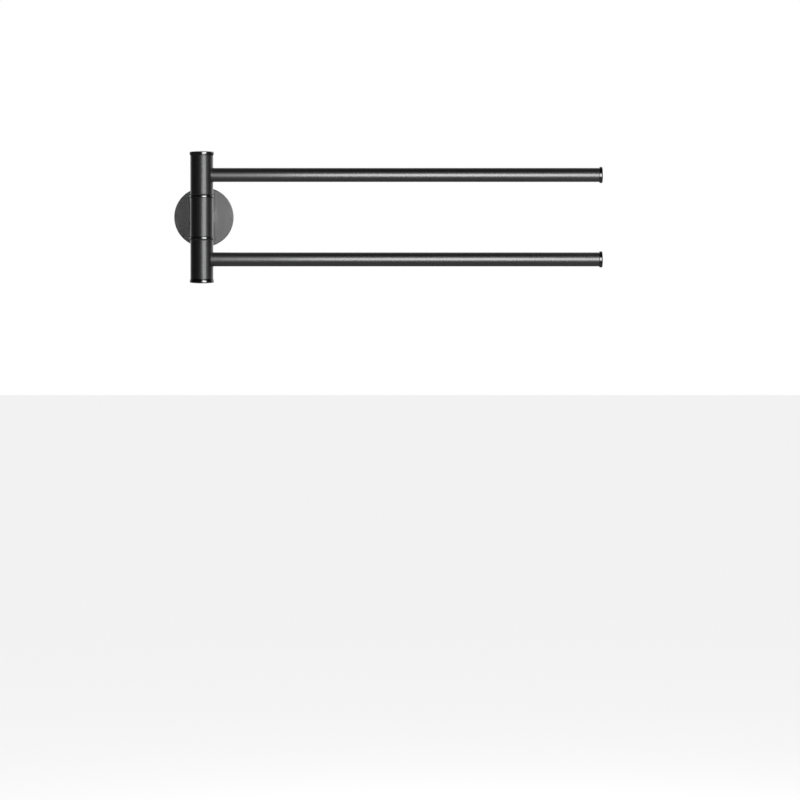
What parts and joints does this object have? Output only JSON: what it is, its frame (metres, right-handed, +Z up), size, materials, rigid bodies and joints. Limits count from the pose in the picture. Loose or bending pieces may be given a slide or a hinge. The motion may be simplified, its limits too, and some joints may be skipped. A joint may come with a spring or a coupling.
{
  "type": "swing arm towel bar",
  "caption": "Wall-mounted towel bar: long round arms that swing level on a short vertical post, which stands off a round wall cover on a neck. Satin black with polished black rings and caps.",
  "frame": {"origin": "on the wall, at the centre of the mounting plate's back face", "axes": "+Z up along the post, +X along the arms at rest, +Y into the wall"},
  "size_m": [0.431, 0.0772, 0.1324],
  "materials": {
    "satin_black": "satin",
    "polished_black": "polished",
    "plate_steel": "satin",
    "fastener_steel": "satin",
    "brass": "satin",
    "nylon": "matte",
    "black_nylon": "matte"
  },
  "bodies": {
    "wall_post": {"centre_tube": "satin_black", "cover_grub_screw": "fastener_steel", "hub_core": "brass", "lower_flat_washer": "fastener_steel", "lower_lock_nut": "fastener_steel", "lower_spacer_ring": "polished_black", "lower_thrust_washer": "black_nylon", "lower_wave_washer": "fastener_steel", "mounting_plate": "plate_steel", "neck_bolt": "fastener_steel", "neck_tube": "satin_black", "neck_washer": "fastener_steel", "spindle": "fastener_steel", "upper_flat_washer": "fastener_steel", "upper_lock_nut": "fastener_steel", "upper_spacer_ring": "polished_black", "upper_thrust_washer": "black_nylon", "upper_wave_washer": "fastener_steel", "wall_cover": "satin_black"},
    "upper_arm": {"upper_swivel_tube": "satin_black", "upper_inner_bush": "nylon", "upper_outer_bush": "nylon", "upper_arm_tube": "satin_black", "upper_arm_root_plug": "brass", "upper_arm_tip_cap": "polished_black", "upper_post_cap": "polished_black"},
    "lower_arm": {"lower_swivel_tube": "satin_black", "lower_inner_bush": "nylon", "lower_outer_bush": "nylon", "lower_arm_tube": "satin_black", "lower_arm_root_plug": "brass", "lower_arm_tip_cap": "polished_black", "lower_post_cap": "polished_black"}
  },
  "joints": [
    {"name": "upper_swing", "type": "hinge", "parent": "wall_post", "child": "upper_arm", "pos_m": [0, -0.065, 0.0422], "axis": [0, 0, 1], "range_deg": [-187, 7]},
    {"name": "lower_swing", "type": "hinge", "parent": "wall_post", "child": "lower_arm", "pos_m": [0, -0.065, -0.0422], "axis": [0, 0, 1], "range_deg": [-187, 7]}
  ]
}
